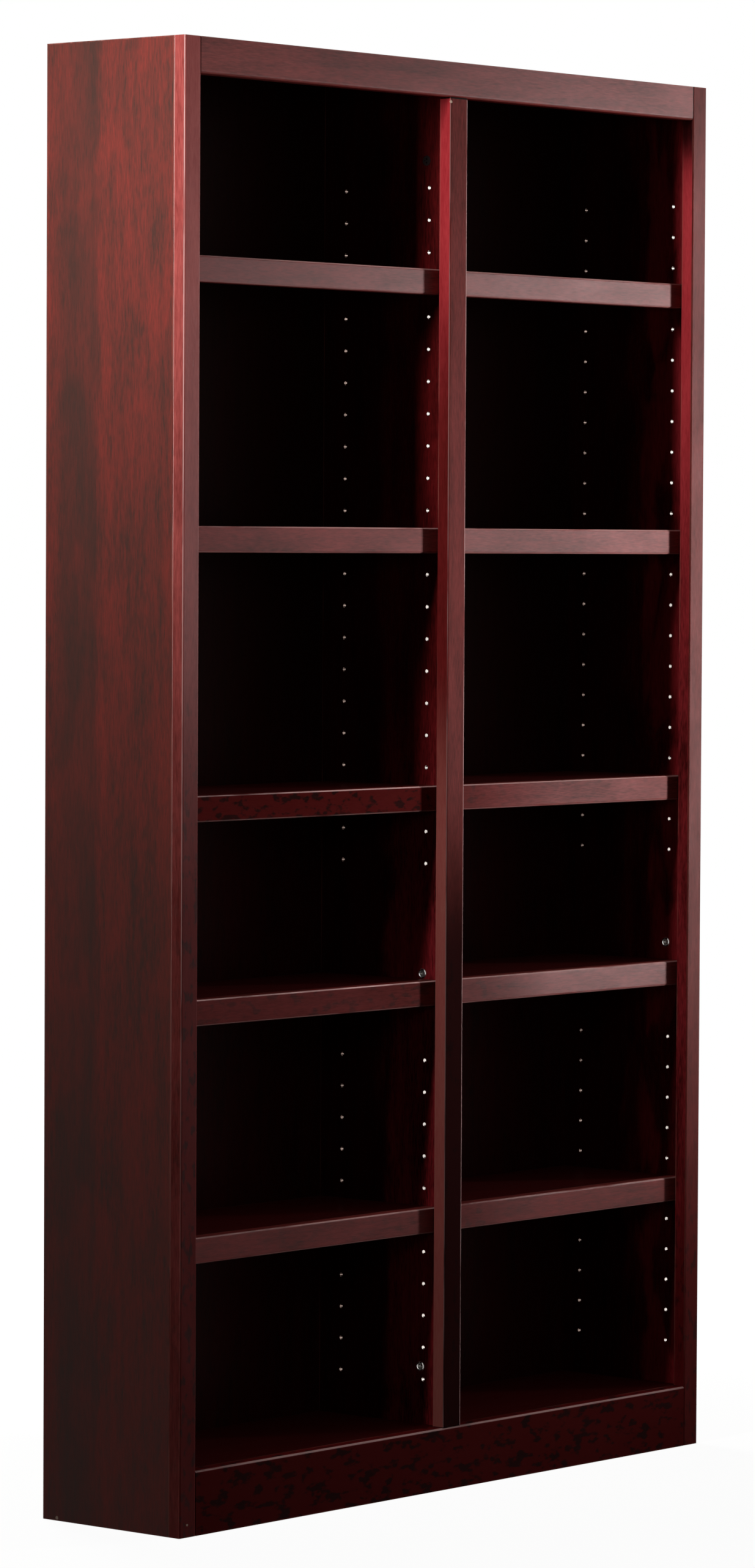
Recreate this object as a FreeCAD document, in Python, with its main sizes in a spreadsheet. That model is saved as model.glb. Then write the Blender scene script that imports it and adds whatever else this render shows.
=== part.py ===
"""Two-bay bookcase: panelled case, solid face frame, fixed and adjustable shelves with deep nosings.

The origin is on the floor under the middle of the case, +Z is up and the open front faces -Y.
Every piece is drawn from its own left, front, bottom corner and then placed in the case.
"""
import FreeCAD
import Part
import math
import os
import types

import Sketcher

SIZES = {
    # case
    "case_width": 1219.2,
    "case_height": 2133.6,
    "case_depth": 266.7,
    "panel_thickness": 19.05,
    "panel_easing": 1.0,
    # back sheets, let into rabbets of the sides
    "back_thickness": 6.35,
    "back_recess": 4.8,
    "rabbet_width": 9.5,
    "back_edge_gap": 0.3,
    # face frame
    "frame_thickness": 20.0,
    "stile_width": 34.9,
    "mullion_width": 41.3,
    "top_rail_height": 52.4,
    "bottom_rail_height": 93.7,
    "frame_easing": 3.0,
    "rail_easing": 4.5,
    # joints: housings of the case, mortises of the face frame
    "housing_depth": 6.0,
    "tongue_height": 9.5,
    "tenon_length": 20.0,
    "tenon_thickness": 6.6,
    "tenon_shoulder": 10.0,
    "mortise_gap": 1.0,
    # shelves
    "board_thickness": 19.05,
    "nosing_height": 38.1,
    "nosing_thickness": 19.05,
    "nosing_easing": 3.0,
    "shelf_front_gap": 1.6,
    "shelf_end_gap": 1.6,
    "shelf_back_gap": 2.0,
    "fixed_shelf_top": 765.0,
    # shelf holes: two columns on each inner face, in a zone below and a zone above the fixed shelf
    "hole_pitch": 48.12,
    "hole_front_inset": 29.2,
    "hole_back_inset": 43.5,
    "hole_web": 2.65,
    "low_zone_rise": 67.7,
    "low_zone_margin": 118.0,
    "high_zone_rise": 173.6,
    "high_zone_margin": 180.0,
    # free holes above and below the three shelves of the upper zone, which are spaced evenly between them
    "holes_above_shelves": 3,
    "holes_below_shelves": 2,
    # shelf pins with a flat ledge
    "pin_diameter": 5.75,
    "pin_clearance": 0.3,
    "ledge_width": 8.0,
    "ledge_length": 10.0,
    "ledge_thickness": 3.0,
    # cam fittings that draw the face frame to the case
    "cam_diameter": 15.0,
    "cam_clearance": 0.2,
    "cam_reach": 35.0,
    "cam_floor": 0.5,
    "cam_cross_length": 8.4,
    "cam_cross_width": 2.0,
    "cam_cross_depth": 3.0,
    "bolt_diameter": 4.6,
    "bolt_clearance": 0.4,
    "bolt_head_diameter": 6.0,
    "bolt_head_length": 4.0,
    "bolt_thread_diameter": 6.0,
    "bolt_thread_length": 11.0,
    "divider_low_cam_rise": 86.8,
    "divider_mid_cam_rise": 8.0,
    "divider_high_cam_drop": 144.0,
    "side_cam_rise": 27.0,
}
SNAP = 1e-6
# bores and shanks repeat by the hundred, so they are drawn with flat sides
FLATS = 8
SEAT_FLATS = 16
X_AXIS, Y_AXIS, Z_AXIS = range(3)

doc = FreeCAD.newDocument("bookcase")


class Size:
    """A length or count that is known both as a sheet expression and as its present value."""

    def __init__(self, text, number):
        self.text = text
        self.number = number

    def joined(self, sign, other, number):
        return Size(f"({self.text} {sign} {other.text})", number)

    def __add__(self, other):
        other = as_size(other)
        return self.joined("+", other, self.number + other.number)

    def __sub__(self, other):
        other = as_size(other)
        return self.joined("-", other, self.number - other.number)

    def __mul__(self, other):
        other = as_size(other)
        return self.joined("*", other, self.number * other.number)

    def __truediv__(self, other):
        other = as_size(other)
        return self.joined("/", other, self.number / other.number)

    def __neg__(self):
        return ZERO - self

    def floor(self):
        return Size(f"floor({self.text})", math.floor(self.number))


def as_size(value):
    return value if isinstance(value, Size) else Size(str(value), value)


ZERO = Size("0", 0)


def read_sheet():
    """Writes the driving sizes into a sheet and returns them by name."""
    sheet = doc.addObject("Spreadsheet::Sheet", "sizes")
    for row, (name, number) in enumerate(SIZES.items(), 1):
        sheet.set(f"A{row}", name)
        sheet.set(f"B{row}", str(number))
        sheet.setAlias(f"B{row}", name)
    doc.recompute()
    return types.SimpleNamespace(**{name: Size(f"sizes.{name}", sheet.get(name)) for name in SIZES})


def bind(item, prop, size):
    item.setExpression(prop, size.text)


def place(item, x, y, z):
    for axis, size in zip("xyz", (x, y, z)):
        bind(item, f"Placement.Base.{axis}", size)


class Piece:
    """A body that is drawn as sketches on its own origin planes, then padded, cut and eased."""

    def __init__(self, name, x=ZERO, y=ZERO, z=ZERO):
        self.body = doc.addObject("PartDesign::Body", name)
        self.body.Label = name
        self.planes = {item.Role: item for item in self.body.Origin.OriginFeatures}
        self.count = 0
        place(self.body, x, y, z)

    def feature(self, kind, label):
        self.count += 1
        return self.body.newObject(kind, f"{self.body.Name}_{label}_{self.count}")

    def sketch(self, plane, level):
        """Starts a sketch on an origin plane, moved by level along +X, +Y or +Z."""
        item = self.feature("Sketcher::SketchObject", "sketch")
        item.AttachmentSupport = (self.planes[plane], [""])
        item.MapMode = "FlatFace"
        # the XZ plane looks towards -Y
        bind(item, "AttachmentOffset.Base.z", -level if plane == "XZ_Plane" else level)
        return item

    def closed(self, plane, level, *outlines):
        """Sketches closed outlines whose corners are all bound to the sheet."""
        item = self.sketch(plane, level)
        for corners in outlines:
            first = item.GeometryCount
            points = [FreeCAD.Vector(a.number, b.number, 0) for a, b in corners]
            for start, end in zip(points, points[1:] + points[:1]):
                item.addGeometry(Part.LineSegment(start, end))
            for index, corner in enumerate(corners):
                before = first + (index - 1) % len(corners)
                item.addConstraint(Sketcher.Constraint("Coincident", first + index, 1, before, 2))
                fix_point(item, first + index, 1, corner)
        return item

    def circle(self, plane, level, diameter):
        """Sketches a circle round the piece's own axis."""
        item = self.sketch(plane, level)
        item.addGeometry(Part.Circle(FreeCAD.Vector(), FreeCAD.Vector(0, 0, 1), diameter.number / 2))
        item.addConstraint(Sketcher.Constraint("Coincident", 0, 3, -1, 1))
        bound(item, Sketcher.Constraint("Diameter", 0, diameter.number), diameter)
        return item

    def pad(self, sketch, length, backwards=False):
        item = self.feature("PartDesign::Pad", "pad")
        item.Profile = sketch
        item.Reversed = backwards
        bind(item, "Length", length)
        self.body.Tip = item
        doc.recompute()
        return item

    def pocket(self, sketch, depth, outwards=False):
        """Cuts against the plane's direction, or along it with outwards."""
        item = self.feature("PartDesign::Pocket", "pocket")
        item.Profile = sketch
        item.Reversed = outwards
        bind(item, "Length", depth)
        self.body.Tip = item
        return item

    def pattern(self, cut, first, second=None):
        """Repeats a cut along one axis, or over a grid; each way is an axis, a spacing and a count."""
        item = self.feature("PartDesign::LinearPattern", "pattern")
        item.Originals = [cut]
        for suffix, way in (("", first), ("2", second)):
            if way:
                axis, spacing, count = way
                setattr(item, f"Direction{suffix}", (self.planes[axis], [""]))
                bind(item, f"Length{suffix}", spacing * (count - 1))
                bind(item, f"Occurrences{suffix}", count)
        self.body.Tip = item
        return item

    def ease(self, base, radius, axis, spots):
        """Rounds the edges of base that run along one axis at the given places on the other two."""
        names = edges_along(base, axis, spots)
        item = self.feature("PartDesign::Fillet", "easing")
        item.Base = (base, names)
        bind(item, "Radius", radius)
        self.body.Tip = item
        return item

    def block(self, width, depth, height):
        """Pads a plain board up from its footprint."""
        return self.pad(self.closed("XY_Plane", ZERO, span(ZERO, width, ZERO, depth)), height)


def bound(sketch, constraint, size):
    index = sketch.addConstraint(constraint)
    sketch.setExpression(f"Constraints[{index}]", size.text)


def fix_point(sketch, geometry, point, spot):
    """Ties one point of a sketch to its axes, or at bound distances from them."""
    for kind, axis, size in zip(("DistanceX", "DistanceY"), (-2, -1), spot):
        if size is ZERO:
            sketch.addConstraint(Sketcher.Constraint("PointOnObject", geometry, point, axis))
        else:
            bound(sketch, Sketcher.Constraint(kind, -1, 1, geometry, point, size.number), size)


def span(start_a, end_a, start_b, end_b):
    """Corners of a rectangle between two bounds on each axis."""
    return [(start_a, start_b), (end_a, start_b), (end_a, end_b), (start_a, end_b)]


def flat_sided(spot, width, flats=FLATS):
    """Corners of a bore or shank, as wide across its flats as the given size."""
    a, b = spot
    turn = 2 * math.pi / flats
    radius = width * (0.5 / math.cos(turn / 2))
    angles = [turn * (step + 0.5) for step in range(flats)]
    return [(a + radius * math.cos(angle), b + radius * math.sin(angle)) for angle in angles]


def edges_along(base, axis, spots):
    """Names of the straight edges along an axis that pass the given places on the other two axes."""
    others = [way for way in range(3) if way != axis]
    names = []
    for number, edge in enumerate(base.Shape.Edges, 1):
        ends = [vertex.Point for vertex in edge.Vertexes]
        if len(ends) != 2 or any(abs(ends[0][way] - ends[1][way]) > SNAP for way in others):
            continue
        for spot in spots:
            if all(abs(ends[0][way] - size.number) < SNAP for way, size in zip(others, spot)):
                names.append(f"Edge{number}")
    if len(names) != len(spots):
        raise RuntimeError(f"{base.Name}: found {len(names)} of {len(spots)} edges to ease")
    return names


def group(name, master, placements):
    """Gathers linked copies of a master piece into one named group of separate solids."""
    links = []
    for index, (spot, rotation) in enumerate(placements, 1):
        link = doc.addObject("App::Link", f"{name}_{index}")
        link.LinkedObject = master.body
        link.Placement = FreeCAD.Placement(FreeCAD.Vector(), rotation)
        place(link, *spot)
        links.append(link)
    item = doc.addObject("Part::Compound", name)
    item.Label = name
    item.Links = links
    return item


at = read_sheet()
TWO = Size("2", 2)
CENTRE = (ZERO, ZERO)

# levels and depths that several pieces share
half_width = at.case_width / 2
face = -at.case_depth / 2
panel_front = face + at.frame_thickness
side_depth = at.case_depth - at.frame_thickness
rabbet_length = at.back_recess + at.back_thickness
inner_depth = side_depth - rabbet_length
inner_back = panel_front + inner_depth
inner_width = at.case_width - at.panel_thickness * 2
bay_width = (inner_width - at.panel_thickness) / 2
bay_starts = {"left": -half_width + at.panel_thickness, "right": at.panel_thickness / 2}
case_floor = at.bottom_rail_height
case_ceiling = at.case_height - at.panel_thickness
rail_length = at.case_width - at.stile_width * 2
panel_middle = at.panel_thickness / 2

# joints
tenon_start = (at.frame_thickness - at.tenon_thickness) / 2
tenon_end = tenon_start + at.tenon_thickness
mortise_depth = at.tenon_length + at.mortise_gap
board_start = at.shelf_front_gap + at.nosing_thickness
board_end = inner_depth - at.shelf_back_gap
fixed_board_bottom = at.fixed_shelf_top - at.board_thickness

# shelf holes
hole_diameter = at.pin_diameter + at.pin_clearance * 2
hole_depth = (at.panel_thickness - at.hole_web) / 2
low_zone_start = case_floor + at.low_zone_rise
high_zone_start = at.fixed_shelf_top + at.high_zone_rise
low_zone_room = at.fixed_shelf_top - at.low_zone_margin - low_zone_start
high_zone_room = at.case_height - at.high_zone_margin - high_zone_start
low_zone_count = (low_zone_room / at.hole_pitch).floor() + 1
high_zone_count = (high_zone_room / at.hole_pitch).floor() + 1
hole_zones = ((low_zone_start, low_zone_count), (high_zone_start, high_zone_count))
shelf_step = ((high_zone_count - 1 - at.holes_above_shelves - at.holes_below_shelves) / 2).floor()
seat_holes = {
    1: high_zone_start + at.hole_pitch * (at.holes_below_shelves + shelf_step * 2),
    2: high_zone_start + at.hole_pitch * (at.holes_below_shelves + shelf_step),
    3: high_zone_start + at.hole_pitch * at.holes_below_shelves,
    5: low_zone_start + at.hole_pitch * (low_zone_count / 2).floor(),
}
FIXED_SHELF = 4

# fittings
cam_bore = at.cam_diameter + at.cam_clearance * 2
cam_depth = panel_middle + at.bolt_head_diameter / 2 + at.cam_floor
cam_room = at.bolt_head_diameter + at.cam_floor * 2
bolt_bore = at.bolt_diameter + at.bolt_clearance * 2
thread_bore = at.bolt_thread_diameter + at.bolt_clearance * 2
divider_cam_levels = [
    case_floor + at.divider_low_cam_rise,
    at.fixed_shelf_top + at.divider_mid_cam_rise,
    at.case_height - at.divider_high_cam_drop,
]
side_cam_level = at.fixed_shelf_top + at.side_cam_rise


def shelf_housing(start):
    """Outline of the fixed shelf's tongue on an upright that starts at the given height."""
    low = fixed_board_bottom - start
    return span(board_start, board_end, low, low + at.tongue_height)


def rail_tenon(low, high):
    """Outline of a rail's tenon, held back from the rail's edges by its shoulders."""
    return span(tenon_start, tenon_end, low + at.tenon_shoulder, high - at.tenon_shoulder)


def mullion_tenon(middle):
    half = at.mullion_width / 2 - at.tenon_shoulder
    return span(middle - half, middle + half, tenon_start, tenon_end)


def shelf_holes(piece, faces, depth, start):
    """Bores both zones of shelf holes into each face, counted up from the height where the piece starts."""
    column_gap = depth - at.hole_front_inset - at.hole_back_inset
    cuts = []
    for level, outwards in faces:
        for first, count in hole_zones:
            spot = (at.hole_front_inset, first - start)
            bore = piece.closed("YZ_Plane", level, flat_sided(spot, hole_diameter))
            cuts.append((piece.pocket(bore, hole_depth, outwards), count))
    for first_hole, count in cuts:
        piece.pattern(first_hole, ("Z_Axis", at.hole_pitch, count), ("Y_Axis", column_gap, TWO))


def cam_holes(piece, level, heights, outwards):
    """Bores cam seats into one face and their bolt holes into the front edge."""
    seats = [flat_sided((at.cam_reach, height), cam_bore, SEAT_FLATS) for height in heights]
    piece.pocket(piece.closed("YZ_Plane", level, *seats), cam_depth, outwards)
    bolts = [flat_sided((panel_middle, height), bolt_bore) for height in heights]
    piece.pocket(piece.closed("XZ_Plane", ZERO, *bolts), at.cam_reach)


def thread_holes(piece, x, heights):
    """Bores the back of a face frame upright for the threads of the cam bolts."""
    bores = [flat_sided((x, height), thread_bore) for height in heights]
    piece.pocket(piece.closed("XZ_Plane", at.frame_thickness, *bores), at.bolt_thread_length, True)


def side_panel(name, left):
    """A side of the case: rabbeted for the back, housed and bored on its inner face."""
    piece = Piece(name, -half_width if left else half_width - at.panel_thickness, panel_front)
    inner = at.panel_thickness if left else ZERO
    outer = ZERO if left else at.panel_thickness
    rabbet = at.panel_thickness - at.rabbet_width if left else at.rabbet_width
    corners = [(outer, ZERO), (inner, ZERO), (inner, inner_depth)]
    corners += [(rabbet, inner_depth), (rabbet, side_depth), (outer, side_depth)]
    board = piece.pad(piece.closed("XY_Plane", ZERO, corners), at.case_height)
    piece.ease(board, at.panel_easing, Z_AXIS, [(outer, ZERO)])
    bottom = span(ZERO, inner_depth, case_floor - at.panel_thickness, case_floor)
    top = span(ZERO, inner_depth, case_ceiling, at.case_height)
    housings = piece.closed("YZ_Plane", inner, bottom, shelf_housing(ZERO), top)
    piece.pocket(housings, at.housing_depth, not left)
    cam_holes(piece, inner, [side_cam_level], not left)
    shelf_holes(piece, [(inner, not left)], side_depth, ZERO)
    return piece


def centre_divider():
    """The upright between the bays, bored and housed on both faces, its ends let into the decks."""
    start = case_floor - at.housing_depth
    piece = Piece("centre_divider", -panel_middle, panel_front, start)
    piece.block(at.panel_thickness, inner_depth, case_ceiling + at.housing_depth - start)
    faces = ((ZERO, True), (at.panel_thickness, False))
    for level, outwards in faces:
        piece.pocket(piece.closed("YZ_Plane", level, shelf_housing(start)), at.housing_depth, outwards)
    cam_holes(piece, ZERO, [level - start for level in divider_cam_levels], True)
    shelf_holes(piece, faces, inner_depth, start)
    return piece


def deck(name, z, divider_above):
    """The top or bottom panel, let into the sides and grooved for the divider."""
    length = inner_width + at.housing_depth * 2
    piece = Piece(name, -length / 2, panel_front, z)
    piece.block(length, inner_depth, at.panel_thickness)
    level = at.panel_thickness if divider_above else ZERO
    groove = span(length / 2 - panel_middle, length / 2 + panel_middle, ZERO, inner_depth)
    piece.pocket(piece.closed("XY_Plane", level, groove), at.housing_depth, not divider_above)
    return piece


def back_panel(name, left):
    """One back sheet, from its rabbet to the middle of the divider."""
    width = inner_width / 2 + at.rabbet_width - at.back_edge_gap
    bottom = case_floor - at.panel_thickness
    piece = Piece(name, -width if left else ZERO, inner_back, bottom)
    piece.block(width, at.back_thickness, at.case_height - bottom)
    return piece


def stile(name, left):
    """An upright of the face frame, eased along its front edges and its outer back edge."""
    piece = Piece(name, -half_width if left else half_width - at.stile_width, face)
    board = piece.block(at.stile_width, at.frame_thickness, at.case_height)
    fronts = [(ZERO, ZERO), (at.stile_width, ZERO)]
    outer = ZERO if left else at.stile_width
    eased = piece.ease(board, at.frame_easing, Z_AXIS, fronts)
    doc.recompute()
    piece.ease(eased, at.panel_easing, Z_AXIS, [(outer, at.frame_thickness)])
    inner = at.stile_width if left else ZERO
    low = rail_tenon(ZERO, at.bottom_rail_height)
    high = rail_tenon(at.case_height - at.top_rail_height, at.case_height)
    piece.pocket(piece.closed("YZ_Plane", inner, low, high), mortise_depth, not left)
    thread_holes(piece, panel_middle if left else at.stile_width - panel_middle, [side_cam_level])
    return piece


def mullion():
    """The middle upright of the face frame, tenoned between the rails over the divider's edge."""
    height = at.case_height - at.top_rail_height - at.bottom_rail_height
    piece = Piece("centre_mullion", -at.mullion_width / 2, face, at.bottom_rail_height)
    board = piece.block(at.mullion_width, at.frame_thickness, height)
    piece.ease(board, at.frame_easing, Z_AXIS, [(ZERO, ZERO), (at.mullion_width, ZERO)])
    middle = at.mullion_width / 2
    for level, downwards in ((ZERO, True), (height, False)):
        piece.pad(piece.closed("XY_Plane", level, mullion_tenon(middle)), at.tenon_length, downwards)
    thread_holes(piece, middle, [level - at.bottom_rail_height for level in divider_cam_levels])
    return piece


def rail(name, z, height, mullion_above):
    """A rail of the face frame: tenoned into the stiles, eased and mortised on its opening edge."""
    piece = Piece(name, -rail_length / 2, face, z)
    board = piece.block(rail_length, at.frame_thickness, height)
    edge = height if mullion_above else ZERO
    piece.ease(board, at.rail_easing, X_AXIS, [(ZERO, edge)])
    for level, leftwards in ((ZERO, True), (rail_length, False)):
        piece.pad(piece.closed("YZ_Plane", level, rail_tenon(ZERO, height)), at.tenon_length, leftwards)
    mortise = piece.closed("XY_Plane", edge, mullion_tenon(rail_length / 2))
    piece.pocket(mortise, mortise_depth, not mullion_above)
    return piece


def shelf(side, number):
    """A board and its nosing; the fixed board has tongues in the housings of the uprights."""
    fixed = number == FIXED_SHELF
    gap = ZERO if fixed else at.shelf_end_gap
    length = bay_width - gap * 2
    x = bay_starts[side] + gap
    bottom = fixed_board_bottom if fixed else seat_holes[number] + at.pin_diameter / 2
    board = Piece(f"shelf_board_{side}_{number}", x, panel_front + board_start, bottom)
    board.block(length, board_end - board_start, at.board_thickness)
    if fixed:
        tongue = span(ZERO, board_end - board_start, ZERO, at.tongue_height)
        for level, leftwards in ((ZERO, True), (length, False)):
            board.pad(board.closed("YZ_Plane", level, tongue), at.housing_depth, leftwards)
    drop = at.nosing_height - at.board_thickness
    nosing = Piece(f"shelf_nosing_{side}_{number}", x, panel_front + at.shelf_front_gap, bottom - drop)
    strip = nosing.block(length, at.nosing_thickness, at.nosing_height)
    nosing.ease(strip, at.nosing_easing, X_AXIS, [(ZERO, ZERO), (ZERO, at.nosing_height)])
    return [board, nosing]


def shelf_pin():
    """A pin along +X: shank in the panel and a flat-topped ledge in the bay."""
    piece = Piece("shelf_pin")
    piece.pad(piece.closed("YZ_Plane", ZERO, flat_sided(CENTRE, at.pin_diameter)), hole_depth, True)
    half, top = at.ledge_width / 2, at.pin_diameter / 2
    ledge = span(-half, half, top - at.ledge_thickness, top)
    piece.pad(piece.closed("YZ_Plane", ZERO, ledge), at.ledge_length)
    return piece


def cam_disc():
    """A cam along +Z: cross recess in its face, and below a slot towards -Y for the bolt's head."""
    piece = Piece("cam_disc")
    piece.pad(piece.circle("XY_Plane", ZERO, at.cam_diameter), cam_depth)
    rim = at.cam_diameter / 2 + at.cam_clearance
    neck, room = bolt_bore / 2, at.bolt_head_diameter / 2 + at.bolt_clearance
    seat = at.bolt_head_length / 2 + at.bolt_clearance
    slot = [(neck, -rim), (neck, -seat), (room, -seat), (room, seat)]
    slot += [(-a, b) for a, b in reversed(slot)]
    piece.pocket(piece.closed("XY_Plane", ZERO, slot), cam_room, True)
    arm, half = at.cam_cross_length / 2, at.cam_cross_width / 2
    cross = [(-arm, -half), (-half, -half), (-half, -arm), (half, -arm), (half, -half), (arm, -half)]
    cross += [(-a, -b) for a, b in cross]
    piece.pocket(piece.closed("XY_Plane", cam_depth, cross), at.cam_cross_depth)
    return piece


def cam_bolt():
    """A bolt along +Y from its thread in the face frame to its head inside the cam."""
    piece = Piece("cam_bolt")
    shank = at.cam_reach - at.bolt_head_length / 2
    thread = piece.closed("XZ_Plane", ZERO, flat_sided(CENTRE, at.bolt_thread_diameter))
    piece.pad(thread, at.bolt_thread_length)
    piece.pad(piece.closed("XZ_Plane", ZERO, flat_sided(CENTRE, at.bolt_diameter)), shank, True)
    head = piece.closed("XZ_Plane", shank, flat_sided(CENTRE, at.bolt_head_diameter))
    piece.pad(head, at.bolt_head_length, True)
    return piece


UPRIGHT = FreeCAD.Rotation()
RIGHTWARDS = FreeCAD.Rotation(FreeCAD.Vector(0, 1, 0), 90)
HALF_TURN = FreeCAD.Rotation(FreeCAD.Vector(0, 0, 1), 180)
# a cam's face points into the bay, its mouth to the front
CAM_TO_RIGHT = RIGHTWARDS
CAM_TO_LEFT = FreeCAD.Rotation(FreeCAD.Vector(0, 1, 0), -90)

side_middle = half_width - panel_middle


def pin_spots(side):
    """Pins of one bay: a front and a back one on each upright, under each adjustable shelf."""
    start = bay_starts[side]
    spots = []
    for on_start, x in ((True, start), (False, start + bay_width)):
        on_side = on_start == (side == "left")
        depth = side_depth if on_side else inner_depth
        columns = (panel_front + at.hole_front_inset, panel_front + depth - at.hole_back_inset)
        turn = UPRIGHT if on_start else HALF_TURN
        spots += [((x, y, z), turn) for z in seat_holes.values() for y in columns]
    return spots


def cam_spots():
    """Cams of the sides and the divider, each from the bottom of its seat."""
    y = panel_front + at.cam_reach
    wall = half_width - at.panel_thickness + cam_depth
    spots = [((-wall, y, side_cam_level), CAM_TO_RIGHT), ((wall, y, side_cam_level), CAM_TO_LEFT)]
    seat = -panel_middle + cam_depth
    return spots + [((seat, y, level), CAM_TO_LEFT) for level in divider_cam_levels]


def bolt_spots():
    spots = [(x, panel_front, side_cam_level) for x in (-side_middle, side_middle)]
    spots += [(ZERO, panel_front, level) for level in divider_cam_levels]
    return [(spot, UPRIGHT) for spot in spots]


def build():
    """Makes every piece and returns the document objects that are handed on."""
    pieces = [
        side_panel("left_side_panel", True),
        side_panel("right_side_panel", False),
        centre_divider(),
        deck("top_panel", case_ceiling, False),
        deck("bottom_panel", case_floor - at.panel_thickness, True),
        back_panel("back_panel_left", True),
        back_panel("back_panel_right", False),
        stile("left_stile", True),
        stile("right_stile", False),
        mullion(),
        rail("top_rail", at.case_height - at.top_rail_height, at.top_rail_height, False),
        rail("bottom_rail", ZERO, at.bottom_rail_height, True),
    ]
    for side in bay_starts:
        for number in sorted([*seat_holes, FIXED_SHELF]):
            pieces += shelf(side, number)
    pin = shelf_pin()
    groups = [group(f"shelf_pins_{side}_bay", pin, pin_spots(side)) for side in bay_starts]
    groups += [
        group("cam_discs", cam_disc(), cam_spots()),
        group("cam_bolts", cam_bolt(), bolt_spots()),
    ]
    return [piece.body for piece in pieces] + groups


def check(items):
    """Stops at a failed feature, a cut that removed nothing, or a shape that isn't sound."""
    for item in doc.Objects:
        if {"Invalid", "Error"} & set(item.State):
            raise RuntimeError(f"{item.Name} failed: {item.State}")
    for body in doc.findObjects("PartDesign::Body"):
        volume = 0
        for item in body.Group:
            if not item.isDerivedFrom("PartDesign::Feature"):
                continue
            cuts = item.TypeId in ("PartDesign::Pocket", "PartDesign::LinearPattern")
            if cuts and item.Shape.Volume >= volume - SNAP:
                raise RuntimeError(f"{item.Name} cut nothing")
            volume = item.Shape.Volume
    for item in items:
        if item.Shape.isNull() or not item.Shape.isValid() or not item.Shape.Solids:
            raise RuntimeError(f"{item.Label} isn't a sound shape")


def main():
    items = build()
    doc.recompute()
    check(items)
    os.makedirs("parts", exist_ok=True)
    for item in items:
        item.Shape.exportStep(f"parts/{item.Label}.step")
        box = item.Shape.BoundBox
        size = f"{box.XLength:.1f} x {box.YLength:.1f} x {box.ZLength:.1f}"
        print(f"{item.Label}: {len(item.Shape.Solids)} solids, {size}")


main()
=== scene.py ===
"""Double wide bookcase: stained wood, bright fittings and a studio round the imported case.

Everything is in metres in the case's own frame: +Z is up and the open front faces -Y.
"""
import math

import bpy
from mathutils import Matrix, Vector


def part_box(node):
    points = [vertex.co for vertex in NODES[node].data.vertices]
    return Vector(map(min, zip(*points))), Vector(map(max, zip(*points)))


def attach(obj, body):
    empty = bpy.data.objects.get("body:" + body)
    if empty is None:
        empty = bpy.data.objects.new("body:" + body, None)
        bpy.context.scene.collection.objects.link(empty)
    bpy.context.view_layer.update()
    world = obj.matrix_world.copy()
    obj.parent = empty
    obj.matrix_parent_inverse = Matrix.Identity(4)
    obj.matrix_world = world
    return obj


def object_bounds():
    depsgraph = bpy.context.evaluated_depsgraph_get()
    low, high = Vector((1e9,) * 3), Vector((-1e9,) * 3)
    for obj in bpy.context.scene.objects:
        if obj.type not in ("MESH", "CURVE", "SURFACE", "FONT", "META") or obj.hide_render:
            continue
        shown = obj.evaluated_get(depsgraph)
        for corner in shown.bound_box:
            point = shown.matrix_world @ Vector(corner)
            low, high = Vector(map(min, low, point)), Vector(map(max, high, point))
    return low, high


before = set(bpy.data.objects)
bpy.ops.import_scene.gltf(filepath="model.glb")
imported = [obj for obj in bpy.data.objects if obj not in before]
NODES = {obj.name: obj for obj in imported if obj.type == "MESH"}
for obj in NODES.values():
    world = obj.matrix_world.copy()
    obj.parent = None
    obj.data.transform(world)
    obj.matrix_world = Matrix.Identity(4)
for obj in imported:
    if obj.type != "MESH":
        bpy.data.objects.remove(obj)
CAD_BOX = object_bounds()

bl_info = {
    "name": "Double wide bookcase",
    "version": (1, 0, 0),
    "blender": (4, 5, 0),
    "location": "3D View > Sidebar > Bookcase",
    "description": "Stains the bookcase, adds its small fittings and sets up a studio",
    "category": "Object",
}

X_AXIS, Y_AXIS, Z_AXIS = range(3)
LOW, HIGH = range(2)

SIDES = ("left", "right")
SHELVES = range(1, 6)
FIXED_SHELF = 4
UPRIGHTS = ("left_side_panel", "right_side_panel", "centre_divider")
BACKS = ("back_panel_left", "back_panel_right")

# each piece with the axis that its grain runs along
PANELS = {"left_side_panel": Z_AXIS, "right_side_panel": Z_AXIS, "centre_divider": Z_AXIS,
          "top_panel": X_AXIS, "bottom_panel": X_AXIS}
FACE_FRAME = {"left_stile": Z_AXIS, "right_stile": Z_AXIS, "centre_mullion": Z_AXIS,
              "top_rail": X_AXIS, "bottom_rail": X_AXIS}

# the outside of the case and the edges of its face frame
CASE_LEFT, CASE_RIGHT = (corner.x for corner in CAD_BOX)
CASE_TOP = CAD_BOX[HIGH].z
FRAME_FACE, FRAME_BACK = (corner.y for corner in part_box("top_rail"))
MULLION_LEFT, MULLION_RIGHT = (corner.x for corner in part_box("centre_mullion"))
BAYS_LEFT, BAYS_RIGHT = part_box("left_stile")[HIGH].x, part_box("right_stile")[LOW].x
BAYS_BOTTOM, BAYS_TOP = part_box("bottom_rail")[HIGH].z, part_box("top_rail")[LOW].z

# seeds of the grain, one for each piece
PANEL_SEED, FRAME_SEED, SHELF_SEED, BACK_SEED = 1, 11, 21, 71
BAY_SEEDS, NOSING_SEEDS = 20, 10


def colour(name, description, default):
    return bpy.props.FloatVectorProperty(
        name=name, description=description, subtype="COLOR", size=3, min=0, max=1, default=default)


def length(name, description, default):
    return bpy.props.FloatProperty(
        name=name, description=description, subtype="DISTANCE", unit="LENGTH", precision=4, default=default)


def share(name, description, default):
    return bpy.props.FloatProperty(
        name=name, description=description, subtype="FACTOR", min=0, max=1, default=default)


def watts(name, description, default):
    return bpy.props.FloatProperty(name=name, description=description, unit="POWER", min=0, default=default)


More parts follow.
